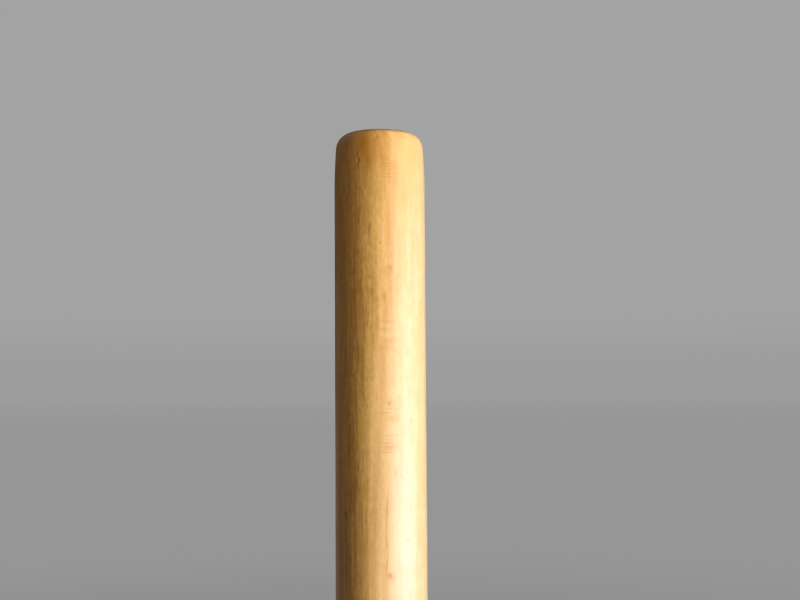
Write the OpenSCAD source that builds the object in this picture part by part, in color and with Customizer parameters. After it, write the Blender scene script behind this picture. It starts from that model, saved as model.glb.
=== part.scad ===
// A pair of claves: two solid hardwood sticks that click when one is struck across the other.
// The striking clave stands upright on its butt end, centred on the origin.
// The held clave lies on the same surface, where the striking clave meets it when it swings level.

/* [Striking clave] */
// Diameter of the straight part of the striking clave
striker_d = 25; // [20:0.5:30]
// Overall length of the striking clave
striker_len = 200; // [170:1:260]

/* [Held clave] */
// Diameter of the straight part of the held clave
held_d = 25; // [20:0.5:30]
// Overall length of the held clave
held_len = 200; // [120:1:260]

/* [Turned ends] */
// Length of each end over which the stick draws in, shoulder included
ease_len = 16; // [8:0.5:20]
// Radius of the long arc that draws the end in
ease_r = 155; // [100:1:300]
// Radius of the rounded shoulder between that arc and the flat end face
shoulder_r = 4.2; // [1:0.1:6]

/* [Playing] */
// Distance from the striking clave's butt to the point that hits the held clave
strike_from_butt = 135; // [100:1:160]
// Gap left between the two claves at the strike
strike_gap = 0.3; // [0.1:0.1:1]

/* [Hidden] */

// Height of the hand's grip on the striking clave, about which it swings.
// At this height the swung clave lies level, just on top of the held one.
grip_from_butt = held_d + strike_gap + striker_d / 2;
// Where the held clave's axis lies along X, under the point that hits it
held_x = strike_from_butt - grip_from_butt;

// How far the shoulder's arc stands through the long arc where the two meet, so that they cross
arc_lap = 0.001;

// Radius of the flat end face of a stick of diameter d.
// It is also where the shoulder's arc is centred: the arc touches the end face and the long arc.
function face_r(d) =
    d / 2 - ease_r
    + sqrt(pow(ease_r - shoulder_r + arc_lap, 2) - pow(ease_len - shoulder_r, 2));

// Distance below the end face at which the shoulder's arc meets the long arc
function shoulder_depth() =
    ease_len - (ease_len - shoulder_r) * ease_r / (ease_r - shoulder_r);

// Half of the outline of one end, with the end face on the X axis and the stick below it.
// It reaches down to where the stick has its full diameter.
module end_outline(d) {
    // core below the flat end face
    translate([0, -ease_len])
        square([face_r(d), ease_len]);
    // rounded shoulder, as the side of a disc away from the stick's axis
    intersection() {
        translate([face_r(d), -shoulder_r])
            circle(r = shoulder_r, $fn = 96);
        translate([0, -2 * shoulder_r])
            square([d, 2 * shoulder_r]);
    }
    // long arc below the shoulder
    intersection() {
        translate([d / 2 - ease_r, -ease_len])
            circle(r = ease_r, $fn = 720);
        translate([0, -ease_len])
            square([d, ease_len - shoulder_depth()]);
    }
}

// Half of the outline of a whole stick, from the butt face at Y 0 to the other end face at Y len
module stick_outline(d, len) {
    translate([0, ease_len])
        square([d / 2, len - 2 * ease_len]);
    translate([0, len])
        end_outline(d);
    mirror([0, 1])
        end_outline(d);
}

// One stick, turned round the Z axis, standing on its butt face
module stick(d, len) {
    rotate_extrude($fn = 128)
        stick_outline(d, len);
}

// The clave that the player swings, upright on its butt
module striking_clave() {
    color("burlywood")
        stick(striker_d, striker_len);
}

// The clave that rests in the player's cupped hand, lying along Y with its middle under the strike
module held_clave() {
    color("tan")
        translate([held_x, held_len / 2, held_d / 2])
            rotate([90, 0, 0])
                stick(held_d, held_len);
}

striking_clave();
held_clave();
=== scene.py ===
"""Looks of a pair of claves: two turned sticks of blond hardwood under a satin varnish.

One clave stands upright on its butt and the other lies beside it, where the first one strikes.
Each stick is turned as a fine mesh, given its grain, marks and varnish, and set in a plain studio.
Lengths are in millimetres unless a name says otherwise, and are turned into metres at the end.
"""

import logging
import math
import random
from dataclasses import dataclass, field
from enum import Enum

import bmesh
import bpy
from mathutils import Matrix, Vector, noise


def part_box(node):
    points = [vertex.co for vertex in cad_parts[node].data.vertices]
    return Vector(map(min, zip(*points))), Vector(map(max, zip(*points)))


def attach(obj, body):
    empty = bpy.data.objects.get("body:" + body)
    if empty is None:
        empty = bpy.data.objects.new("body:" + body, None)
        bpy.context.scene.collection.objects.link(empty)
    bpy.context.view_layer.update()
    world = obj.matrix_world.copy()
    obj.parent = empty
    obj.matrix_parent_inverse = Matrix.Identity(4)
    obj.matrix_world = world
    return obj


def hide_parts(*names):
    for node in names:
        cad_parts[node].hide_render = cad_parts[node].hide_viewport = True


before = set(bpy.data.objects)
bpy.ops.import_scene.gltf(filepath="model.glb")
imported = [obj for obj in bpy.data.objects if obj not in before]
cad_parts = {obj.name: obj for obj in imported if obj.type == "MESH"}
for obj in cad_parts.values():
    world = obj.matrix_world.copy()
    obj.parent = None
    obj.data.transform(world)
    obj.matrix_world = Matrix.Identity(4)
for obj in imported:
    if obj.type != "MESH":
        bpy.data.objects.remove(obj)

MM = 0.001
BAKE_MAP = "OFBake"
Colour = tuple[float, float, float, float]

log = logging.getLogger("claves")


def srgb(red: int, green: int, blue: int) -> Colour:
    """Turns a colour written in 8-bit sRGB into the linear colour that shaders use.

    Args:
        red: Red, from 0 to 255.
        green: Green, from 0 to 255.
        blue: Blue, from 0 to 255.

    Returns:
        The linear colour with an alpha of 1.
    """

    def linear(level: int) -> float:
        """Undoes the sRGB curve for one channel."""
        share = level / 255
        return share / 12.92 if share <= 0.04045 else ((share + 0.055) / 1.055) ** 2.4

    return linear(red), linear(green), linear(blue), 1.0


class Wiring:
    """Adds nodes to one shader node tree and joins them up."""

    def __init__(self, tree: bpy.types.NodeTree) -> None:
        """Keeps the tree that the nodes go into."""
        self.tree = tree

    def add(self, kind: str, **settings: object) -> bpy.types.Node:
        """Adds a shader node.

        Args:
            kind: The node's type without its ShaderNode prefix.
            **settings: Properties to set on the node.

        Returns:
            The new node.
        """
        node = self.tree.nodes.new("ShaderNode" + kind)
        for name, value in settings.items():
            setattr(node, name, value)
        return node

    def feed(self, socket: bpy.types.NodeSocket, value: object) -> None:
        """Links a socket into an input, or sets the input if value is a plain value."""
        if isinstance(value, bpy.types.NodeSocket):
            self.tree.links.new(value, socket)
        else:
            socket.default_value = value

    def math(self, operation: str, *values: object) -> bpy.types.NodeSocket:
        """Adds a Math node and returns its result."""
        node = self.add("Math", operation=operation)
        for socket, value in zip(node.inputs, values):
            self.feed(socket, value)
        return node.outputs[0]

    def vector(self, operation: str, *values: object) -> bpy.types.NodeSocket:
        """Adds a Vector Math node and returns its result."""
        node = self.add("VectorMath", operation=operation)
        for socket, value in zip(node.inputs, values):
            self.feed(socket, value)
        return node.outputs[0]

    def remap(
        self, value: object, low: object, high: object, to_low: object = 0.0, to_high: object = 1.0
    ) -> bpy.types.NodeSocket:
        """Maps value from low..high to to_low..to_high on a smooth step, and returns the result."""
        node = self.add("MapRange", interpolation_type="SMOOTHSTEP")
        for socket, part in zip(node.inputs, (value, low, high, to_low, to_high)):
            self.feed(socket, part)
        return node.outputs[0]

    def mix(
        self, factor: object, under: object, over: object, blend: str = "MIX"
    ) -> bpy.types.NodeSocket:
        """Mixes two colours.

        Args:
            factor: How much of the second colour shows, from 0 to 1.
            under: The first colour.
            over: The second colour.
            blend: Blender's name for the way the colours are mixed.

        Returns:
            The mixed colour.
        """
        node = self.add("Mix", data_type="RGBA", blend_type=blend)
        colour_sockets = [s for s in node.inputs if s.type == "RGBA"]
        self.feed(node.inputs[0], factor)
        self.feed(colour_sockets[0], under)
        self.feed(colour_sockets[1], over)
        return next(s for s in node.outputs if s.type == "RGBA")

    def stretched(
        self, point: object, across: float, along: float, shift: object
    ) -> bpy.types.NodeSocket:
        """Scales a point for a pattern with cells across wide and along long, in millimetres."""
        scale = (1 / across, 1 / across, 1 / along)
        return self.vector("MULTIPLY_ADD", point, scale, shift)

    def cloud(self, point: object, detail: float = 1.0, rough: float = 0.5) -> bpy.types.NodeSocket:
        """Adds a noise of unit cells at point and returns its value, from 0 to 1."""
        node = self.add("TexNoise")
        self.feed(node.inputs["Vector"], point)
        node.inputs["Scale"].default_value = 1.0
        node.inputs["Detail"].default_value = detail
        node.inputs["Roughness"].default_value = rough
        return node.outputs[0]

    def effect(self, group: bpy.types.NodeTree, **values: object) -> bpy.types.Node:
        """Places an effect's group and feeds its inputs, with _ for the spaces in their names."""
        node = self.add("Group", node_tree=group)
        for name, value in values.items():
            self.feed(node.inputs[name.replace("_", " ")], value)
        return node


class Effect(Wiring):
    """A shader node group with named inputs and outputs, open for nodes to be added."""

    def __init__(self, name: str, inputs: dict[str, object], outputs: tuple[str, ...]) -> None:
        """Starts the group.

        Args:
            name: The group's name.
            inputs: Each input's name with its default, a float or a vector of three.
            outputs: The names of the outputs. Point is a vector and the rest are floats.
        """
        super().__init__(bpy.data.node_groups.new(name, "ShaderNodeTree"))
        for label, value in inputs.items():
            kind = "NodeSocketVector" if isinstance(value, tuple) else "NodeSocketFloat"
            self.tree.interface.new_socket(
                label, in_out="INPUT", socket_type=kind
            ).default_value = value
        for label in outputs:
            kind = "NodeSocketVector" if label == "Point" else "NodeSocketFloat"
            self.tree.interface.new_socket(label, in_out="OUTPUT", socket_type=kind)
        self.given = self.tree.nodes.new("NodeGroupInput").outputs
        self.result = self.tree.nodes.new("NodeGroupOutput").inputs

    def axes(self, point: object) -> list[bpy.types.NodeSocket]:
        """Splits a point into its X, Y and Z."""
        node = self.add("SeparateXYZ")
        self.feed(node.inputs[0], point)
        return list(node.outputs)

    def grain(
        self, across: float, along: float, detail: float = 1.0, rough: float = 0.5
    ) -> bpy.types.NodeSocket:
        """Adds a noise of the group's own Point, drawn out along the grain, and returns it."""
        cells = self.stretched(self.given["Point"], across, along, self.given["Seed"])
        return self.cloud(cells, detail, rough)

    def patches(
        self, across: float, along: float, low: float, high: float
    ) -> bpy.types.NodeSocket:
        """Returns a mask of patches, where such a noise goes from low, for 0, to high, for 1."""
        return self.remap(self.grain(across, along), low, high)


class Effects:
    """The effects that the timbers share, each one a node group built once.

    END_FROM and END_FULL say how far below an end face the end grain starts to show and shows in
    full, as shares of the shoulder's radius. The other values describe noises by their width and
    length. RING_BENDS goes on with each one's detail and how far it bends the rings, STREAKS and
    THREADS with detail and roughness, PORES with how near a cell's middle a pore reaches, and the
    patches with the noise's levels at which an effect starts to show and shows in full. Widths,
    lengths and bends are in millimetres.
    """

    END_FROM, END_FULL = 0.27, 0.12
    RING_BENDS = ((15.0, 85.0, 1.0, 3.0), (3.6, 20.0, 2.0, 1.1), (1.0, 5.0, 1.0, 0.32))
    RING_PATCHES = (2.4, 30.0, 0.38, 0.66)
    STREAKS = {
        "Fine": (0.45, 5.0, 2.0, 0.55),
        "Band": (1.9, 34.0, 2.0, 0.5),
        "Drift": (6.0, 55.0, 1.0, 0.5),
        "Fleck": (0.85, 1.8, 2.0, 0.6),
        "Hue": (2.6, 4.2, 2.0, 0.5),
    }
    THREADS = (1.25, 34.0, 1.0, 0.4)
    THREAD_EDGE, THREAD_CORE = 0.030, 0.004
    THREAD_PATCHES = (1.6, 9.0, 0.46, 0.66)
    PORES = ((1.0, 8.0, 0.13), (2.4, 18.0, 0.075))
    CURL_BEND = 2.6
    CURL_PATCHES = (3.0, 8.0, 0.56, 0.74)

    def __init__(self) -> None:
        """Builds every group."""
        self.place = self._place()
        self.rings = self._rings()
        self.fibre = self._fibre()
        self.pores = self._pores()
        self.curl = self._curl()
        self.mark = self._mark()

    @staticmethod
    def _place() -> bpy.types.NodeTree:
        """Where a point lies on a stick: round it, along it, and how far over its end."""
        fx = Effect(
            "stick place",
            {"Point": (0.0, 0.0, 0.0), "Radius": 12.5, "Half Length": 100.0, "Shoulder": 4.2},
            ("Point", "Arc", "Height", "End"),
        )
        point = fx.vector("SCALE", fx.given["Point"])
        point.node.inputs["Scale"].default_value = 1 / MM
        x, y, z = fx.axes(point)
        angle = fx.math("ARCTAN2", x, fx.math("MULTIPLY", y, -1.0))
        from_end = fx.math("SUBTRACT", fx.given["Half Length"], fx.math("ABSOLUTE", z))
        over = fx.math("DIVIDE", from_end, fx.given["Shoulder"])
        fx.feed(fx.result["Point"], point)
        fx.feed(fx.result["Arc"], fx.math("MULTIPLY", angle, fx.given["Radius"]))
        fx.feed(fx.result["Height"], z)
        fx.feed(fx.result["End"], fx.remap(over, Effects.END_FROM, Effects.END_FULL))
        return fx.tree

    @staticmethod
    def _rings() -> bpy.types.NodeTree:
        """Growth rings round a pith that lies outside the stick, cut through by its surface."""
        fx = Effect(
            "growth rings",
            {
                "Point": (0.0, 0.0, 0.0),
                "Pith X": 0.0,
                "Pith Y": 60.0,
                "Ring Width": 1.6,
                "Wander": 1.0,
                "Seed": 0.0,
            },
            ("Line", "Swell", "Late"),
        )
        wander = 0.0
        for across, along, detail, reach in Effects.RING_BENDS:
            bend = fx.math("SUBTRACT", fx.grain(across, along, detail), 0.5)
            wander = fx.math("MULTIPLY_ADD", bend, reach, wander)
        x, y, _ = fx.axes(fx.given["Point"])
        dx = fx.math("SUBTRACT", x, fx.given["Pith X"])
        dy = fx.math("SUBTRACT", y, fx.given["Pith Y"])
        squares = fx.math("ADD", fx.math("MULTIPLY", dx, dx), fx.math("MULTIPLY", dy, dy))
        radius = fx.math("MULTIPLY_ADD", wander, fx.given["Wander"], fx.math("SQRT", squares))
        count = fx.math("DIVIDE", radius, fx.given["Ring Width"])
        wave = fx.math("COSINE", fx.math("MULTIPLY", count, math.tau))
        phase = fx.math("FRACT", count)
        late = fx.math("POWER", fx.remap(phase, 0.30, 0.90), 2.0)
        line = fx.math("MULTIPLY", late, fx.remap(phase, 1.0, 0.90))
        shown = fx.patches(*Effects.RING_PATCHES)
        fx.feed(fx.result["Line"], fx.math("MULTIPLY", line, shown))
        fx.feed(fx.result["Swell"], wave)
        fx.feed(fx.result["Late"], line)
        return fx.tree

    @staticmethod
    def _fibre() -> bpy.types.NodeTree:
        """Streaks along the grain: fine fibres, broad bands, slow drifts, flecks and threads."""
        fx = Effect(
            "fibre",
            {"Point": (0.0, 0.0, 0.0), "Seed": 0.0},
            (*Effects.STREAKS, "Thread"),
        )
        for name, noise_of in Effects.STREAKS.items():
            fx.feed(fx.result[name], fx.grain(*noise_of))
        off = fx.math("ABSOLUTE", fx.math("SUBTRACT", fx.grain(*Effects.THREADS), 0.5))
        thread = fx.remap(off, Effects.THREAD_EDGE, Effects.THREAD_CORE)
        shown = fx.patches(*Effects.THREAD_PATCHES)
        fx.feed(fx.result["Thread"], fx.math("MULTIPLY", thread, shown))
        return fx.tree

    @staticmethod
    def _pores() -> bpy.types.NodeTree:
        """Short dark pore lines along the grain, thinly scattered, in two sizes."""
        fx = Effect("pores", {"Point": (0.0, 0.0, 0.0), "Seed": 0.0, "Share": 0.4}, ("Mask",))
        masks = []
        for across, along, reach in Effects.PORES:
            cells = fx.add("TexVoronoi", feature="F1")
            fx.feed(
                cells.inputs["Vector"],
                fx.stretched(fx.given["Point"], across, along, fx.given["Seed"]),
            )
            cells.inputs["Scale"].default_value = 1.0
            pick = fx.add("SeparateColor")
            fx.feed(pick.inputs[0], cells.outputs["Color"])
            kept = fx.math("LESS_THAN", pick.outputs[0], fx.given["Share"])
            near = fx.remap(cells.outputs["Distance"], reach, reach * 0.3)
            masks.append(fx.math("MULTIPLY", near, kept))
        fx.feed(fx.result["Mask"], fx.math("MAXIMUM", *masks))
        return fx.tree

    @staticmethod
    def _curl() -> bpy.types.NodeTree:
        """Fine cross-grain wrinkles of curly figure, in scattered patches."""
        fx = Effect(
            "curl",
            {"Point": (0.0, 0.0, 0.0), "Height": 0.0, "Pitch": 1.0, "Seed": 0.0},
            ("Wrinkle",),
        )
        turns = fx.math("DIVIDE", fx.given["Height"], fx.given["Pitch"])
        turns = fx.math("MULTIPLY_ADD", fx.grain(2.0, 4.0, 2.0), Effects.CURL_BEND, turns)
        wave = fx.math("SINE", fx.math("MULTIPLY", turns, math.tau))
        patch = fx.patches(*Effects.CURL_PATCHES)
        fx.feed(fx.result["Wrinkle"], fx.math("MULTIPLY", wave, patch))
        return fx.tree

    @staticmethod
    def _mark() -> bpy.types.NodeTree:
        """One soft oval mark at a chosen place on the stick, long along the grain or across it."""
        fx = Effect(
            "single mark",
            {
                "Arc": 0.0,
                "Height": 0.0,
                "Arc At": 0.0,
                "Height At": 0.0,
                "Half Width": 0.2,
                "Half Length": 2.0,
                "Lean": 0.0,
            },
            ("Mask",),
        )
        rise = fx.math("SUBTRACT", fx.given["Height"], fx.given["Height At"])
        side = fx.math("SUBTRACT", fx.given["Arc"], fx.given["Arc At"])
        side = fx.math("SUBTRACT", side, fx.math("MULTIPLY", rise, fx.given["Lean"]))
        across = fx.math("POWER", fx.math("DIVIDE", side, fx.given["Half Width"]), 2.0)
        along = fx.math("POWER", fx.math("DIVIDE", rise, fx.given["Half Length"]), 2.0)
        spread = fx.math("MULTIPLY", fx.math("ADD", across, along), -1.0)
        fx.feed(fx.result["Mask"], fx.math("EXPONENT", spread))
        return fx.tree


class MarkKind(Enum):
    """The kinds of single mark on the wood, with the tint and depth of each. Some PALE, WARM and
    UMBER marks are painted light and shade, as noted where they are placed.
    """

    NICK = (srgb(58, 32, 12), 0.95, -1.5)
    RAISED = (srgb(246, 198, 136), 0.60, 0.4)
    PORE = (srgb(158, 110, 44), 0.45, -0.15)
    THREAD = (srgb(112, 66, 24), 0.50, -0.15)
    RUST = (srgb(160, 92, 34), 0.55, 0.0)
    AMBER = (srgb(180, 112, 16), 0.88, 0.0)
    STAIN = (srgb(204, 142, 54), 0.45, 0.0)
    BLUSH = (srgb(234, 166, 88), 0.52, 0.0)
    FLECK = (srgb(212, 136, 66), 0.58, 0.0)
    PALE = (srgb(252, 220, 158), 0.40, 0.0)
    WRINKLE = (srgb(206, 140, 74), 0.48, -0.2)
    UMBER = (srgb(146, 90, 30), 0.48, 0.0)
    STRAW = (srgb(230, 176, 96), 0.52, 0.0)
    WARM = (srgb(238, 180, 98), 0.40, 0.0)

    def __init__(self, tint: Colour, cover: float, relief: float) -> None:
        """Names the kind's parts.

        Args:
            tint: The mark's own colour.
            cover: How much of the wood's colour it hides at its middle, from 0 to 1.
            relief: How far it stands out, or in if negative, as a share of the bump's depth.
        """
        self.tint = tint
        self.cover = cover
        self.relief = relief


@dataclass(frozen=True)
class Mark:
    """One mark on the barrel. angle is in degrees from the stick's front, positive to its right.

    height is above the butt, and lean is how far the mark goes to the right for each step up.
    """

    kind: MarkKind
    angle: float
    height: float
    half_width: float
    half_length: float
    lean: float = 0.0


@dataclass(frozen=True)
class Varnish:
    """A clear satin varnish over the wood, which the grain still shows through as relief.

    The reliefs are shares of bump_depth. band_rough and end_rough are how much the broad bands and
    the end grain roughen it.
    """

    roughness: float = 0.48
    band_rough: float = 0.10
    end_rough: float = 0.25
    coat: float = 0.7
    coat_roughness: float = 0.37
    bump_depth: float = 0.05
    fibre_relief: float = 0.12
    pore_relief: float = -0.3
    wrinkle_relief: float = 0.05


@dataclass(frozen=True)
class Timber:
    """One blank of blond hardwood: its colours, its growth rings and its marks, some of which are
    painted light and shade.

    HEART and SAP are two places across the stick, as millimetres right of its middle. The streaks
    are strongest at the heart and weakest at the sap. The covers are how far each layer hides the
    wood's colour, from 0 to 1. BLURS is how many millimetres each noise moves the bounds between
    the colours, and STREAKS how much each one adds to the streaks.
    """

    HEART, SAP = -7.0, 4.0
    BLURS = (("Drift", 7.0), ("Band", 3.0), ("Hue", 5.0))
    STREAKS = (("Band", 1.15), ("Fine", 0.45), ("Fleck", 0.9))

    name: str
    seed: float
    pale: Colour = srgb(242, 210, 155)
    cream: Colour = srgb(245, 202, 137)
    peach: Colour = srgb(241, 189, 117)
    honey: Colour = srgb(221, 168, 86)
    ochre: Colour = srgb(209, 154, 66)
    rust: Colour = srgb(199, 135, 48)
    brown: Colour = srgb(194, 132, 48)
    orange_tint: Colour = (1.01, 0.92, 0.80, 1.0)
    straw_tint: Colour = (1.04, 1.07, 1.10, 1.0)
    dark_tint: Colour = (0.86, 0.80, 0.71, 1.0)
    light_tint: Colour = (1.18, 1.25, 1.36, 1.0)
    thread: Colour = srgb(156, 86, 28)
    pore: Colour = srgb(120, 72, 32)
    end_grain: Colour = srgb(150, 116, 66)
    pith: tuple[float, float] = (6.0, 52.0)
    ring_width: float = 1.5
    wander: float = 1.0
    pith_and_painted_light_lean: float = -0.02
    heart_rise: tuple[float, float] = (70.0, 105.0)
    heart_reach: float = 2.5
    heart_streaks: float = 2.4
    sap_streaks: float = 0.5
    hue_cover: float = 0.7
    ring_cover: float = 0.10
    heart_threads: float = 0.75
    sap_threads: float = 0.06
    pore_share: float = 0.2
    pore_cover: float = 0.5
    curl_pitch: float = 1.05
    wrinkle_shade: float = 0.035
    soak: float = 0.7
    end_cover: float = 0.85
    varnish: Varnish = field(default_factory=Varnish)
    marks: tuple[Mark, ...] = ()

    def material(self, effects: Effects, stick: "Clave") -> bpy.types.Material:
        """Builds the varnished wood.

        Args:
            effects: The shared node groups.
            stick: The stick that wears it, for its sizes.

        Returns:
            The material.
        """
        material = bpy.data.materials.new(self.name)
        material.use_nodes = True
        tree = material.node_tree
        tree.nodes.clear()
        wood = Wiring(tree)
        coordinates = wood.add("TexCoord").outputs["Object"]
        place = wood.effect(
            effects.place,
            Point=coordinates,
            Radius=stick.radius,
            Half_Length=stick.length / 2,
            Shoulder=stick.ends.shoulder_r,
        ).outputs
        point, arc, height = place["Point"], place["Arc"], place["Height"]
        rings = wood.effect(
            effects.rings,
            Point=point,
            Pith_X=self.pith[0],
            Pith_Y=self.pith[1],
            Ring_Width=self.ring_width,
            Wander=self.wander,
            Seed=self.seed,
        ).outputs
        fibre = wood.effect(effects.fibre, Point=point, Seed=self.seed).outputs
        sprinkled = wood.effect(effects.pores, Point=point, Seed=self.seed, Share=self.pore_share)
        pores = sprinkled.outputs["Mask"]
        curl = wood.effect(
            effects.curl,
            Point=point,
            Height=height,
            Pitch=self.curl_pitch,
            Seed=self.seed,
        )
        wrinkle = curl.outputs["Wrinkle"]
        colour = self._colour(wood, point, rings, fibre)
        shade = wood.math("MULTIPLY_ADD", wrinkle, self.wrinkle_shade, 1.0)
        colour = wood.mix(1.0, colour, shade, "MULTIPLY")
        colour = wood.mix(wood.math("MULTIPLY", pores, self.pore_cover), colour, self.pore)
        relief = wood.math("MULTIPLY", pores, self.varnish.pore_relief)
        relief = wood.math("MULTIPLY_ADD", fibre["Fine"], self.varnish.fibre_relief, relief)
        relief = wood.math("MULTIPLY_ADD", wrinkle, self.varnish.wrinkle_relief, relief)
        for mark in self.marks:
            mask = wood.effect(
                effects.mark,
                Arc=arc,
                Height=height,
                Arc_At=math.radians(mark.angle) * stick.radius,
                Height_At=mark.height - stick.length / 2,
                Half_Width=mark.half_width,
                Half_Length=mark.half_length,
                Lean=mark.lean,
            ).outputs["Mask"]
            cover = wood.math("MULTIPLY", mask, mark.kind.cover)
            colour = wood.mix(cover, colour, mark.kind.tint)
            relief = wood.math("MULTIPLY_ADD", mask, mark.kind.relief, relief)
        soaked = wood.mix(self.soak, colour, self.end_grain, "MULTIPLY")
        arcs = wood.math("MULTIPLY_ADD", fibre["Fine"], 0.5, 0.25)
        soaked = wood.mix(wood.math("MULTIPLY", rings["Late"], arcs), soaked, self.pore)
        colour = wood.mix(wood.math("MULTIPLY", place["End"], self.end_cover), colour, soaked)
        least_rough = self.varnish.roughness - self.varnish.band_rough / 2
        rough = wood.math("MULTIPLY_ADD", fibre["Band"], self.varnish.band_rough, least_rough)
        rough = wood.math("MULTIPLY_ADD", place["End"], self.varnish.end_rough, rough)
        bump = wood.add("Bump")
        bump.inputs["Strength"].default_value = 1.0
        bump.inputs["Distance"].default_value = self.varnish.bump_depth * MM
        wood.feed(bump.inputs["Height"], relief)
        shader = wood.add("BsdfPrincipled")
        wood.feed(shader.inputs["Base Color"], colour)
        wood.feed(shader.inputs["Roughness"], rough)
        wood.feed(shader.inputs["Normal"], bump.outputs[0])
        shader.inputs["Coat Weight"].default_value = self.varnish.coat
        shader.inputs["Coat Roughness"].default_value = self.varnish.coat_roughness
        wood.feed(wood.add("OutputMaterial").inputs["Surface"], shader.outputs[0])
        return material

    def _colour(self, wood: Wiring, point: object, rings: object, fibre: object) -> object:
        """Colours the wood by its drift from a brown left side to a pale right side, its rings and
        its fibres.

        Each colour takes over from the one before it between two places across the stick. The drift
        is partly the wood's own heart and sap, and partly painted shade on the side away from the
        window lamp and painted light on the side towards it.

        Args:
            wood: The material's wiring.
            point: The point in the stick, in millimetres.
            rings: The outputs of the growth ring effect.
            fibre: The outputs of the fibre effect.

        Returns:
            The colour socket.
        """
        split = wood.add("SeparateXYZ")
        wood.feed(split.inputs[0], point)
        # The bounds lean with height: browner towards the top and paler towards the butt. The paler
        # butt is partly painted light that widens the highlight there.
        lean = wood.remap(split.outputs[2], *self.heart_rise, 0.0, -self.heart_reach)
        lean = wood.math("MULTIPLY_ADD", split.outputs[2], self.pith_and_painted_light_lean, lean)
        for name, reach in self.BLURS:
            lean = wood.math("MULTIPLY_ADD", wood.math("SUBTRACT", fibre[name], 0.5), reach, lean)
        side = wood.math("ADD", split.outputs[0], lean)
        # The layers run from brown on the left to pale on the right. They are partly the wood's
        # heart and sap, partly painted shade away from the window lamp and painted light towards
        # it.
        colour = self.brown
        for start, end, layer in (
            (-10.0, -9.0, self.rust),
            (-8.6, -6.8, self.ochre),
            (-7.0, -5.0, self.honey),
            (-3.4, -0.6, self.peach),
            (0.0, 3.2, self.cream),
            (3.8, 7.4, self.pale),
        ):
            colour = wood.mix(wood.remap(side, start, end), colour, layer)
        streaks = 0.0
        for name, weight in self.STREAKS:
            step = wood.math("SUBTRACT", fibre[name], 0.5)
            streaks = wood.math("MULTIPLY_ADD", step, weight, streaks)
        streaks = wood.math("MULTIPLY_ADD", rings["Swell"], 0.05, streaks)
        strength = wood.remap(side, self.HEART, self.SAP, self.heart_streaks, self.sap_streaks)
        tone = wood.math("MULTIPLY_ADD", streaks, strength, 0.5)
        tint = wood.mix(tone, self.dark_tint, self.light_tint)
        colour = wood.mix(1.0, colour, tint, "MULTIPLY")
        hue = wood.mix(wood.remap(fibre["Hue"], 0.34, 0.66), self.straw_tint, self.orange_tint)
        colour = wood.mix(self.hue_cover, colour, hue, "MULTIPLY")
        cover = wood.remap(side, 1.0, -6.0, self.sap_threads, self.heart_threads)
        colour = wood.mix(wood.math("MULTIPLY", fibre["Thread"], cover), colour, self.thread)
        return wood.mix(wood.math("MULTIPLY", rings["Line"], self.ring_cover), colour, self.thread)


@dataclass(frozen=True)
class TurnedEnds:
    """How both ends of a stick are turned: a long arc, then a rounded shoulder, then a flat."""

    ease_len: float = 16.0
    ease_r: float = 155.0
    shoulder_r: float = 4.2

    def face_r(self, radius: float) -> float:
        """Radius of the flat end face, which is also where the shoulder's arc is centred."""
        reach = self.ease_r - self.shoulder_r
        drop = self.ease_len - self.shoulder_r
        return radius - self.ease_r + math.sqrt(reach * reach - drop * drop)

    def meeting_angle(self) -> float:
        """The angle, as seen from both arcs' centres, at which the long arc meets the shoulder."""
        return math.asin((self.ease_len - self.shoulder_r) / (self.ease_r - self.shoulder_r))

    def outline(self, radius: float, ease_steps: int, shoulder_steps: int) -> list[Vector]:
        """Half of one end's outline.

        Args:
            radius: The stick's radius.
            ease_steps: Steps along the long arc.
            shoulder_steps: Steps round the shoulder.

        Returns:
            Points of radius and depth below the end face, from the barrel to the flat's edge.
        """
        meet = self.meeting_angle()
        points = []
        for step in range(ease_steps + 1):
            turn = meet * step / ease_steps
            depth = self.ease_len - self.ease_r * math.sin(turn)
            points.append(Vector((radius - self.ease_r * (1 - math.cos(turn)), depth)))
        for step in range(1, shoulder_steps + 1):
            turn = meet + (math.pi / 2 - meet) * step / shoulder_steps
            across = self.face_r(radius) + self.shoulder_r * math.cos(turn)
            points.append(Vector((across, self.shoulder_r * (1 - math.sin(turn)))))
        return points


@dataclass(frozen=True)
class Bruise:
    """A shallow dent that strikes have left. angle is in degrees from the stick's front."""

    angle: float
    height: float
    across: float
    along: float
    deep: float


@dataclass(frozen=True)
class StrikeZone:
    """Where a stick is struck, how many bruises it has there, and how large they may be."""

    angle: float
    height: float
    seed: int
    count: int = 16
    angle_spread: float = 13.0
    height_spread: float = 7.0
    across: tuple[float, float] = (0.7, 1.5)
    along: tuple[float, float] = (0.8, 1.8)
    deep: tuple[float, float] = (0.03, 0.09)

    def reaches(self, height: float) -> bool:
        """Tells whether a bruise may lie at a height."""
        return abs(height - self.height) < 3 * self.height_spread

    def bruises(self) -> list[Bruise]:
        """Scatters the bruises, the same way each time."""
        draw = random.Random(self.seed)
        return [
            Bruise(
                angle=draw.gauss(self.angle, self.angle_spread),
                height=draw.gauss(self.height, self.height_spread),
                across=draw.uniform(*self.across),
                along=draw.uniform(*self.along),
                deep=draw.uniform(*self.deep),
            )
            for _ in range(self.count)
        ]


class Lay(Enum):
    """How a clave rests, as the turn that takes its own upright axis there."""

    STANDING = 0.0
    LYING = math.pi / 2


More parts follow.
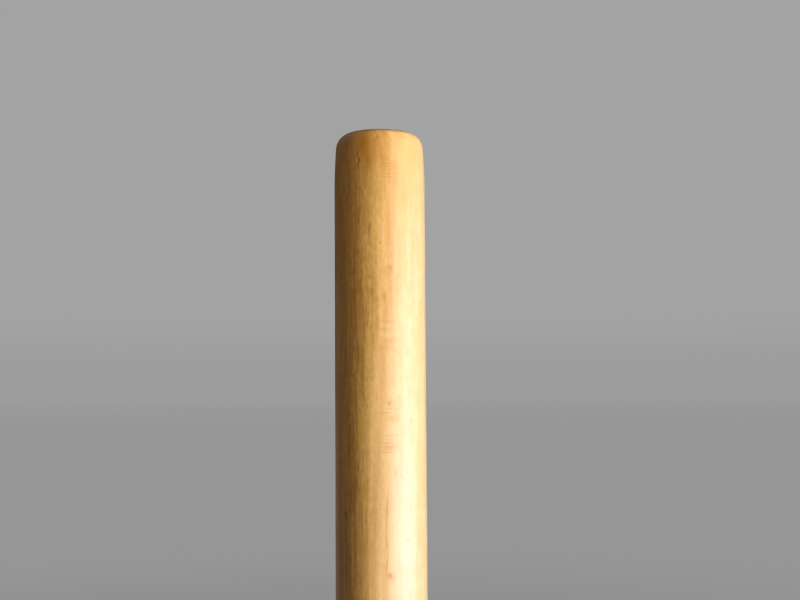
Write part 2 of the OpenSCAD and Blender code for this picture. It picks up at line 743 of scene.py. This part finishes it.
@dataclass
class Clave:
    """One turned stick, built upright round its own middle and then set where its CAD node is.

    ring_step and zone_step are the heights between its rows of points, away from the strike zone
    and in it. Hand sanding leaves slow and quick waves, as far apart along it as SLOW_WAVE and
    QUICK_WAVE say, each with its share of out_of_round, which is how far in they go. The quick
    ones are QUICK_ROUND times as many round it as the slow ones.
    """

    SLOW_WAVE, QUICK_WAVE = 38.0, 9.0
    SLOW_SHARE, QUICK_SHARE = 0.7, 0.3
    QUICK_ROUND = 2.4

    node: str
    body: str
    slot: str
    lay: Lay
    timber: Timber
    zone: StrikeZone
    ends: TurnedEnds = field(default_factory=TurnedEnds)
    columns: int = 144
    ring_step: float = 1.1
    zone_step: float = 0.55
    face_rings: int = 8
    end_steps: int = 12
    wave_seed: float = 0.0
    out_of_round: float = 0.035
    low: Vector = field(init=False)
    high: Vector = field(init=False)

    def __post_init__(self) -> None:
        """Reads the stick's place and size from the frame."""
        self.low, self.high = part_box(self.node)

    @property
    def length(self) -> float:
        """Overall length, in millimetres."""
        return max(self.high - self.low) / MM

    @property
    def radius(self) -> float:
        """Radius of the barrel, in millimetres."""
        return min(self.high - self.low) / 2 / MM

    def build(self, effects: Effects) -> bpy.types.Object:
        """Makes the stick, dresses it and sets it in place of its CAD node.

        Args:
            effects: The shared node groups.

        Returns:
            The stick's object.
        """
        mesh = bpy.data.meshes.new(self.node + "_stick")
        self._turn(mesh)
        stick = bpy.data.objects.new(mesh.name, mesh)
        bpy.context.scene.collection.objects.link(stick)
        mesh.materials.append(self.timber.material(effects, self))
        centre = (self.low + self.high) / 2
        stick.matrix_world = Matrix.Translation(centre) @ Matrix.Rotation(self.lay.value, 4, "X")
        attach(stick, self.body)
        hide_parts(self.node)
        return stick

    def _outline(self) -> list[Vector]:
        """The whole half outline, as points of radius and height above the butt, butt first."""
        end = self.ends.outline(self.radius, self.end_steps, self.end_steps)
        butt = [Vector((p.x, p.y)) for p in reversed(end)]
        top = [Vector((p.x, self.length - p.y)) for p in end]
        barrel = []
        height = self.ends.ease_len
        while True:
            height += self.zone_step if self.zone.reaches(height) else self.ring_step
            if height > self.length - self.ends.ease_len - self.zone_step / 2:
                break
            barrel.append(Vector((self.radius, height)))
        return butt + barrel + top

    def _sway(self, angle: float, height: float) -> float:
        """How far hand sanding has left the surface off true, inwards only."""
        x, y = math.cos(angle), math.sin(angle)
        slow = noise.noise(Vector((x, y, height / self.SLOW_WAVE + self.wave_seed)))
        x, y = self.QUICK_ROUND * x, self.QUICK_ROUND * y
        quick = noise.noise(Vector((x, y, height / self.QUICK_WAVE - self.wave_seed)))
        return -self.out_of_round * (1 + self.SLOW_SHARE * slow + self.QUICK_SHARE * quick)

    @staticmethod
    def _dent(bruises: list[Bruise], radius: float, angle: float, height: float) -> float:
        """How deep the bruises are at a place on the barrel, as a negative number."""
        total = 0.0
        for bruise in bruises:
            turn = (angle - math.radians(bruise.angle) + math.pi) % math.tau - math.pi
            across = turn * radius / bruise.across
            along = (height - bruise.height) / bruise.along
            total -= bruise.deep * math.exp(-(across * across) - along * along)
        return total

    def _turn(self, mesh: bpy.types.Mesh) -> None:
        """Turns the stick round its outline into mesh, with the map that its finish bakes into."""
        outline = self._outline()
        bruises = self.zone.bruises()
        shaped = bmesh.new()
        layer = shaped.loops.layers.uv.new(BAKE_MAP)
        rows = []
        for point in outline:
            row = []
            for column in range(self.columns):
                angle = math.tau * column / self.columns - math.pi
                from_end = min(point.y, self.length - point.y)
                share = min(1.0, from_end / self.ends.shoulder_r)
                off = share * self._sway(angle, point.y)
                off += self._dent(bruises, self.radius, angle, point.y)
                across = point.x + off
                spot = (across * math.sin(angle), -across * math.cos(angle))
                row.append(shaped.verts.new((*spot, point.y - self.length / 2)))
            rows.append(row)
        travel = [0.0]
        for before, after in zip(outline, outline[1:]):
            travel.append(travel[-1] + (after - before).length)
        for index in range(len(rows) - 1):
            low_v, high_v = (SideMap.along(travel[i] / travel[-1]) for i in (index, index + 1))
            for column in range(self.columns):
                after = (column + 1) % self.columns
                face = shaped.faces.new(
                    (
                        rows[index][column],
                        rows[index][after],
                        rows[index + 1][after],
                        rows[index + 1][column],
                    )
                )
                left, right = (SideMap.round(c / self.columns) for c in (column, column + 1))
                corners = ((left, low_v), (right, low_v), (right, high_v), (left, high_v))
                for loop, corner in zip(face.loops, corners):
                    loop[layer].uv = corner
        self._face(shaped, layer, rows[0], upward=False)
        self._face(shaped, layer, rows[-1], upward=True)
        for face in shaped.faces:
            face.smooth = True
        shaped.normal_update()
        scale = Matrix.Diagonal((MM, MM, MM, 1))
        shaped.transform(scale)
        shaped.to_mesh(mesh)
        shaped.free()

    def _face(
        self, shaped: bmesh.types.BMesh, layer: object, rim: list[bmesh.types.BMVert], upward: bool
    ) -> None:
        """Closes one end with rings of faces down to its middle.

        Args:
            shaped: The mesh being built.
            layer: Its map.
            rim: The last row of the side.
            upward: Whether this is the top end rather than the butt.
        """
        height = rim[0].co.z
        face_r = self.ends.face_r(self.radius)
        previous = rim
        for ring in range(1, self.face_rings):
            share = 1 - ring / self.face_rings
            row = [
                shaped.verts.new((vert.co.x * share, vert.co.y * share, height)) for vert in rim
            ]
            self._band(shaped, layer, previous, row, face_r, upward)
            previous = row
        middle = shaped.verts.new((0.0, 0.0, height))
        for column in range(self.columns):
            corners = [previous[column], previous[(column + 1) % self.columns], middle]
            self._close(shaped, layer, corners, face_r, upward)

    def _band(
        self,
        shaped: bmesh.types.BMesh,
        layer: object,
        outer: list[bmesh.types.BMVert],
        inner: list[bmesh.types.BMVert],
        face_r: float,
        upward: bool,
    ) -> None:
        """Joins two rings of an end face with quads."""
        for column in range(self.columns):
            after = (column + 1) % self.columns
            corners = [outer[column], outer[after], inner[after], inner[column]]
            self._close(shaped, layer, corners, face_r, upward)

    @staticmethod
    def _close(
        shaped: bmesh.types.BMesh,
        layer: object,
        corners: list[bmesh.types.BMVert],
        face_r: float,
        upward: bool,
    ) -> None:
        """Adds one face of an end, turned outwards, and maps it flat."""
        face = shaped.faces.new(corners if upward else corners[::-1])
        for loop in face.loops:
            place = loop.vert.co
            loop[layer].uv = EndMap.place(place.x / face_r, place.y / face_r, upward)


class SideMap:
    """Where the side of a stick lies in its map: unrolled, with its length up the whole map."""

    LEFT, RIGHT = 0.006, 0.862
    BOTTOM, TOP = 0.006, 0.994

    @classmethod
    def round(cls, share: float) -> float:
        """Across the map for a share of the way round the stick."""
        return cls.LEFT + (cls.RIGHT - cls.LEFT) * share

    @classmethod
    def along(cls, share: float) -> float:
        """Up the map for a share of the way along the stick."""
        return cls.BOTTOM + (cls.TOP - cls.BOTTOM) * share


class EndMap:
    """Where the end faces lie in the map: two ovals beside the unrolled side."""

    MIDDLE = 0.933
    HALF_WIDTH, HALF_HEIGHT = 0.060, 0.115
    BUTT_AT, TOP_AT = 0.25, 0.75

    @classmethod
    def place(cls, x: float, y: float, upward: bool) -> tuple[float, float]:
        """The map's point for a point of an end face, given in shares of the face's radius."""
        middle = cls.TOP_AT if upward else cls.BUTT_AT
        return cls.MIDDLE + cls.HALF_WIDTH * x, middle + cls.HALF_HEIGHT * y


class Job(Enum):
    """What a lamp is for, as whether it lights surfaces and whether a gloss shows it."""

    LIGHT = (True, False)
    SHEEN = (False, True)


@dataclass(frozen=True)
class SoftPanel:
    """A soft rectangular lamp. Its distance, heights and sizes are in metres.

    bearing is in degrees from the camera's side of the object, positive to the right.
    """

    name: str
    job: Job
    bearing: float
    distance: float
    height: float
    width: float
    tall: float
    watts: float
    tint: Colour = srgb(255, 255, 255)
    aim_height: float = 0.1

    def light(self) -> bpy.types.Object:
        """Hangs the lamp and returns it."""
        lamp = bpy.data.lights.new(self.name, "AREA")
        lamp.shape = "RECTANGLE"
        lamp.size = self.width
        lamp.size_y = self.tall
        lamp.energy = self.watts
        lamp.color = self.tint[:3]
        panel = bpy.data.objects.new(self.name, lamp)
        bearing = math.radians(self.bearing)
        away = Vector((math.sin(bearing), -math.cos(bearing), 0)) * self.distance
        panel.location = away + Vector((0, 0, self.height))
        aim = Vector((0, 0, self.aim_height)) - panel.location
        panel.rotation_euler = aim.to_track_quat("-Z", "Y").to_euler()
        panel.visible_camera = False
        panel.visible_diffuse, panel.visible_glossy = self.job.value
        bpy.context.scene.collection.objects.link(panel)
        return panel


@dataclass(frozen=True)
class Viewpoint:
    """The camera. Distances are in metres and angles in degrees."""

    lens: float = 53.43
    distance: float = 0.3267
    height: float = 0.1339
    pitch: float = 3.52
    yaw: float = -0.96
    roll: float = -0.36
    clip_start: float = 0.01

    def set_up(self) -> bpy.types.Object:
        """Places the camera, makes it the scene's and returns it."""
        data = bpy.data.cameras.new("camera")
        data.lens = self.lens
        data.clip_start = self.clip_start
        camera = bpy.data.objects.new("camera", data)
        bpy.context.scene.collection.objects.link(camera)
        upright = Matrix.Rotation(math.radians(90 + self.pitch), 4, "X")
        turned = Matrix.Rotation(math.radians(self.yaw), 4, "Z") @ upright
        rolled = turned @ Matrix.Rotation(math.radians(self.roll), 4, "Z")
        camera.matrix_world = Matrix.Translation((0, -self.distance, self.height)) @ rolled
        bpy.context.scene.camera = camera
        return camera


class Studio:
    """The plain floor, the pale surroundings, the lamps and the camera.

    The floor fades to an even tone between FADE_NEAR and FADE_FAR metres from the object, and that
    tone goes over to the horizon's between HAZE_NEAR and HAZE_FAR. FLOOR_LIFT is how brightly the
    floor itself glows for the camera, and nowhere else. SKY_LOW and SKY_HIGH are how brightly the
    surroundings light the object from the horizon and from above.
    """

    FLOOR = srgb(150, 150, 151)
    BACKDROP = srgb(164, 163, 163)
    HORIZON = srgb(157, 157, 158)
    FLOOR_RADIUS, FLOOR_SIDES = 30.0, 96
    FLOOR_ROUGHNESS = 0.85
    FLOOR_LIFT = 0.25
    FADE_NEAR, FADE_FAR = 0.18, 0.6
    HAZE_NEAR, HAZE_FAR = 1.6, 7.0
    SKY_LOW, SKY_HIGH = 0.04, 0.30
    HORIZON_RISE = 0.05
    LAMPS = (
        SoftPanel("window", Job.LIGHT, 52, 1.2, 0.40, 0.9, 0.8, 21.3),
        SoftPanel("left fill", Job.LIGHT, -80, 1.5, 0.4, 1.0, 1.0, 1.0),
        SoftPanel("rear fill", Job.LIGHT, 180, 1.8, 0.45, 2.4, 0.9, 17.0),
        SoftPanel("sheen", Job.SHEEN, 59, 0.45, 0.03, 0.50, 0.045, 1.95, srgb(229, 206, 255)),
    )

    def build(self) -> None:
        """Sets everything up."""
        self._floor()
        self._world()
        for panel in self.LAMPS:
            panel.light()
        Viewpoint().set_up()

    def _floor(self) -> None:
        """Lays a wide flat floor, which fades to one even tone away from the object."""
        mesh = bpy.data.meshes.new("floor")
        shaped = bmesh.new()
        bmesh.ops.create_circle(
            shaped, cap_ends=True, segments=self.FLOOR_SIDES, radius=self.FLOOR_RADIUS
        )
        shaped.to_mesh(mesh)
        shaped.free()
        floor = bpy.data.objects.new("floor", mesh)
        bpy.context.scene.collection.objects.link(floor)
        material = bpy.data.materials.new("floor")
        material.use_nodes = True
        material.node_tree.nodes.clear()
        paint = Wiring(material.node_tree)
        place = paint.add("TexCoord").outputs["Object"]
        away = paint.add("VectorMath", operation="LENGTH")
        paint.feed(away.inputs[0], place)
        seen = paint.add("LightPath").outputs["Is Camera Ray"]
        lit = paint.add("BsdfPrincipled")
        lit.inputs["Base Color"].default_value = self.FLOOR
        lit.inputs["Roughness"].default_value = self.FLOOR_ROUGHNESS
        lit.inputs["Specular IOR Level"].default_value = 0.0
        lit.inputs["Emission Color"].default_value = self.FLOOR
        lift = paint.math("MULTIPLY", seen, self.FLOOR_LIFT)
        paint.feed(lit.inputs["Emission Strength"], lift)
        even = paint.add("Emission")
        haze = paint.remap(away.outputs["Value"], self.HAZE_NEAR, self.HAZE_FAR)
        paint.feed(even.inputs["Color"], paint.mix(haze, self.FLOOR, self.HORIZON))
        fade = paint.remap(away.outputs["Value"], self.FADE_NEAR, self.FADE_FAR)
        mixed = paint.add("MixShader")
        paint.feed(mixed.inputs[0], paint.math("MULTIPLY", fade, seen))
        paint.feed(mixed.inputs[1], lit.outputs[0])
        paint.feed(mixed.inputs[2], even.outputs[0])
        paint.feed(paint.add("OutputMaterial").inputs["Surface"], mixed.outputs[0])
        mesh.materials.append(material)

    def _world(self) -> None:
        """Lights the scene softly from above, and shows a plain grey where nothing else is."""
        world = bpy.data.worlds.new("studio")
        world.use_nodes = True
        world.node_tree.nodes.clear()
        sky = Wiring(world.node_tree)
        direction = sky.add("SeparateXYZ")
        sky.feed(direction.inputs[0], sky.add("TexCoord").outputs["Generated"])
        rise = direction.outputs[2]
        light = sky.add("Background")
        sky.feed(light.inputs["Strength"], sky.remap(rise, 0.0, 1.0, self.SKY_LOW, self.SKY_HIGH))
        seen = sky.add("Background")
        above = sky.remap(rise, 0.0, self.HORIZON_RISE)
        sky.feed(seen.inputs["Color"], sky.mix(above, self.HORIZON, self.BACKDROP))
        chosen = sky.add("MixShader")
        sky.feed(chosen.inputs[0], sky.add("LightPath").outputs["Is Camera Ray"])
        sky.feed(chosen.inputs[1], light.outputs[0])
        sky.feed(chosen.inputs[2], seen.outputs[0])
        sky.feed(sky.add("OutputWorld").inputs["Surface"], chosen.outputs[0])
        bpy.context.scene.world = world


def wrinkles(angle: float, top: float, gaps: tuple[float, ...], half_width: float) -> list[Mark]:
    """A patch of fine cross-grain lines that shift a little to and fro.

    Args:
        angle: Where round the stick the patch lies.
        top: The height of the highest line above the butt.
        gaps: How far each further line lies below the one before it.
        half_width: Half of each line's width across the grain.

    Returns:
        The lines, as marks.
    """
    shift, half_length = 3.0, 0.13
    return [
        Mark(
            MarkKind.WRINKLE,
            angle + shift * (-1) ** row,
            top - sum(gaps[:row]),
            half_width,
            half_length,
        )
        for row in range(len(gaps) + 1)
    ]


STRIKER_MARKS = (
    # A long darker brown stripe low on the left side.
    Mark(MarkKind.UMBER, -51.0, 82.0, 2.6, 26.0),
    # Painted light: a long paler stripe along the left edge, on the side in shade.
    Mark(MarkKind.WARM, -64.0, 147.0, 2.6, 19.0),
    # Painted shade: darker brown on the left of the top shoulder.
    Mark(MarkKind.UMBER, -38.0, 198.5, 3.6, 2.6),
    Mark(MarkKind.STRAW, -27.0, 92.0, 1.2, 10.0),
    Mark(MarkKind.STRAW, -20.5, 95.0, 0.6, 18.0),
    Mark(MarkKind.STRAW, -25.0, 145.0, 1.4, 6.0),
    Mark(MarkKind.STRAW, -5.5, 186.0, 1.3, 6.0),
    # Painted light: a long paler stripe down the right side, which faces the window lamp.
    Mark(MarkKind.PALE, 62.0, 125.0, 2.2, 30.0),
    # Painted highlight: the next two pale marks widen the varnish's highlight towards the butt.
    Mark(MarkKind.PALE, 14.5, 87.0, 1.9, 19.0),
    Mark(MarkKind.PALE, 11.5, 82.0, 1.3, 15.0),
    Mark(MarkKind.PALE, 9.5, 145.0, 0.9, 5.0),
    # Painted shade: the next two warm marks dim the lit right side towards the top, where the
    # highlight fades.
    Mark(MarkKind.WARM, 45.0, 194.0, 7.0, 16.0),
    Mark(MarkKind.WARM, 31.0, 184.0, 2.4, 13.0),
    Mark(MarkKind.WARM, 3.0, 159.0, 1.2, 8.0),
    Mark(MarkKind.WARM, 9.0, 176.0, 1.2, 10.0),
    Mark(MarkKind.WARM, 26.0, 182.0, 2.4, 2.4),
    Mark(MarkKind.WARM, 21.0, 157.0, 1.0, 4.5),
    Mark(MarkKind.AMBER, -15.0, 191.0, 0.9, 4.0),
    Mark(MarkKind.STAIN, -18.0, 196.0, 3.4, 3.5),
    Mark(MarkKind.BLUSH, 24.0, 196.0, 1.6, 2.2),
    Mark(MarkKind.WARM, 2.0, 195.5, 1.2, 2.2),
    Mark(MarkKind.STAIN, -17.5, 182.5, 1.2, 9.0),
    Mark(MarkKind.STAIN, -17.5, 173.0, 0.8, 3.2),
    Mark(MarkKind.STAIN, -21.0, 146.0, 1.1, 9.0),
    Mark(MarkKind.STAIN, -22.5, 103.0, 1.5, 1.8),
    Mark(MarkKind.STAIN, -22.0, 88.5, 1.8, 2.4),
    Mark(MarkKind.BLUSH, 9.5, 174.5, 0.8, 5.5),
    Mark(MarkKind.BLUSH, 17.0, 188.5, 1.7, 2.4),
    Mark(MarkKind.BLUSH, 17.5, 185.0, 1.9, 0.9),
    Mark(MarkKind.BLUSH, 8.0, 161.0, 1.8, 1.1),
    Mark(MarkKind.BLUSH, 17.5, 159.5, 1.3, 0.9),
    Mark(MarkKind.BLUSH, 8.0, 150.0, 0.6, 3.4),
    Mark(MarkKind.BLUSH, 9.0, 147.5, 1.8, 0.5),
    Mark(MarkKind.BLUSH, 6.0, 145.5, 2.0, 0.6),
    Mark(MarkKind.BLUSH, 10.5, 142.5, 2.2, 0.9),
    Mark(MarkKind.BLUSH, 3.0, 140.5, 2.4, 0.8),
    Mark(MarkKind.BLUSH, 12.5, 126.0, 0.9, 1.0),
    Mark(MarkKind.BLUSH, 14.5, 122.0, 1.5, 1.0),
    Mark(MarkKind.BLUSH, 10.0, 114.0, 1.8, 0.9),
    Mark(MarkKind.BLUSH, 12.0, 80.5, 1.2, 1.0),
    Mark(MarkKind.AMBER, -20.5, 197.0, 2.2, 5.5),
    Mark(MarkKind.THREAD, -28.5, 193.0, 0.22, 1.1),
    Mark(MarkKind.NICK, -26.5, 191.0, 0.24, 0.55),
    Mark(MarkKind.RAISED, -29.5, 191.0, 0.26, 0.5),
    Mark(MarkKind.THREAD, -27.0, 189.5, 0.2, 1.3),
    Mark(MarkKind.THREAD, -21.5, 182.0, 0.18, 0.75, -0.2),
    Mark(MarkKind.RAISED, -19.0, 182.0, 0.18, 0.75, -0.2),
    Mark(MarkKind.FLECK, 4.0, 190.5, 0.6, 2.7),
    Mark(MarkKind.FLECK, 6.0, 184.5, 0.17, 4.0),
    Mark(MarkKind.THREAD, -49.5, 168.0, 0.2, 2.2),
    Mark(MarkKind.PORE, 0.5, 168.5, 0.25, 0.35),
    Mark(MarkKind.THREAD, -33.0, 165.0, 0.2, 4.5),
    Mark(MarkKind.THREAD, -33.5, 161.5, 0.25, 1.1),
    Mark(MarkKind.FLECK, 12.5, 162.0, 0.7, 0.7),
    Mark(MarkKind.PALE, 17.0, 159.5, 0.8, 1.0),
    Mark(MarkKind.FLECK, -13.5, 159.5, 0.6, 0.5),
    Mark(MarkKind.RUST, -32.5, 155.0, 0.35, 4.5),
    Mark(MarkKind.FLECK, 5.0, 154.0, 0.55, 1.2),
    Mark(MarkKind.RUST, -55.5, 142.5, 0.30, 2.0),
    Mark(MarkKind.RUST, -32.0, 147.0, 0.30, 4.0),
    Mark(MarkKind.THREAD, -28.0, 138.5, 0.25, 3.2),
    Mark(MarkKind.RUST, -33.0, 126.0, 0.35, 5.0),
    Mark(MarkKind.PORE, 10.0, 126.0, 0.28, 0.4),
    Mark(MarkKind.THREAD, -36.0, 120.5, 0.22, 3.7),
    Mark(MarkKind.PORE, 39.5, 133.0, 0.22, 0.25),
    Mark(MarkKind.PORE, 45.5, 132.5, 0.22, 0.25),
    Mark(MarkKind.PORE, 18.0, 107.5, 0.3, 0.42),
    Mark(MarkKind.PORE, 26.0, 107.0, 0.22, 0.3),
    Mark(MarkKind.PORE, 30.0, 106.0, 0.22, 0.3),
    Mark(MarkKind.THREAD, -39.0, 102.0, 0.2, 3.4),
    Mark(MarkKind.RUST, -36.0, 114.5, 0.35, 4.5),
    Mark(MarkKind.RUST, -34.5, 102.0, 0.38, 5.6),
    Mark(MarkKind.RUST, -33.5, 87.0, 0.40, 7.0),
    Mark(MarkKind.NICK, -49.0, 96.5, 0.3, 0.6),
    Mark(MarkKind.THREAD, -48.5, 86.0, 0.24, 13.0),
    Mark(MarkKind.FLECK, 7.0, 97.5, 0.3, 4.6, 0.04),
    Mark(MarkKind.FLECK, 6.5, 89.5, 0.22, 2.4, -0.06),
    Mark(MarkKind.FLECK, 6.5, 83.5, 0.22, 2.4, 0.1),
    Mark(MarkKind.FLECK, 10.0, 81.0, 0.6, 0.6),
    Mark(MarkKind.STAIN, 34.0, 90.0, 0.3, 0.7),
    *wrinkles(14.0, 190.5, (0.7, 0.7, 0.9, 1.1, 0.9), 1.5),
    *wrinkles(10.0, 124.5, (1.0, 6.0, 2.0, 1.0, 1.5), 1.7),
)


def claves() -> list[Clave]:
    """The two sticks, each with its own blank of wood."""
    return [
        Clave(
            node="striking_clave",
            body="striking_clave",
            slot="striker_wood",
            lay=Lay.STANDING,
            timber=Timber("striker wood", seed=3.7, marks=STRIKER_MARKS),
            zone=StrikeZone(angle=152.0, height=135.0, seed=11),
            wave_seed=2.3,
        ),
        Clave(
            node="held_clave",
            body="held_clave",
            slot="held_wood",
            lay=Lay.LYING,
            timber=Timber("held wood", seed=41.2, pith=(-9.0, 48.0)),
            zone=StrikeZone(angle=180.0, height=100.0, seed=23),
            wave_seed=9.1,
        ),
    ]


def main() -> None:
    """Builds the studio and both sticks, and writes how large the result is."""
    logging.basicConfig(level=logging.INFO, format="%(name)s: %(message)s")
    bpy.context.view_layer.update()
    bpy.context.scene.view_settings.view_transform = "Standard"
    Studio().build()
    effects = Effects()
    for clave in claves():
        stick = clave.build(effects)
        log.info("%s: %d faces", stick.name, len(stick.data.polygons))


if __name__ == "__main__":
    main()
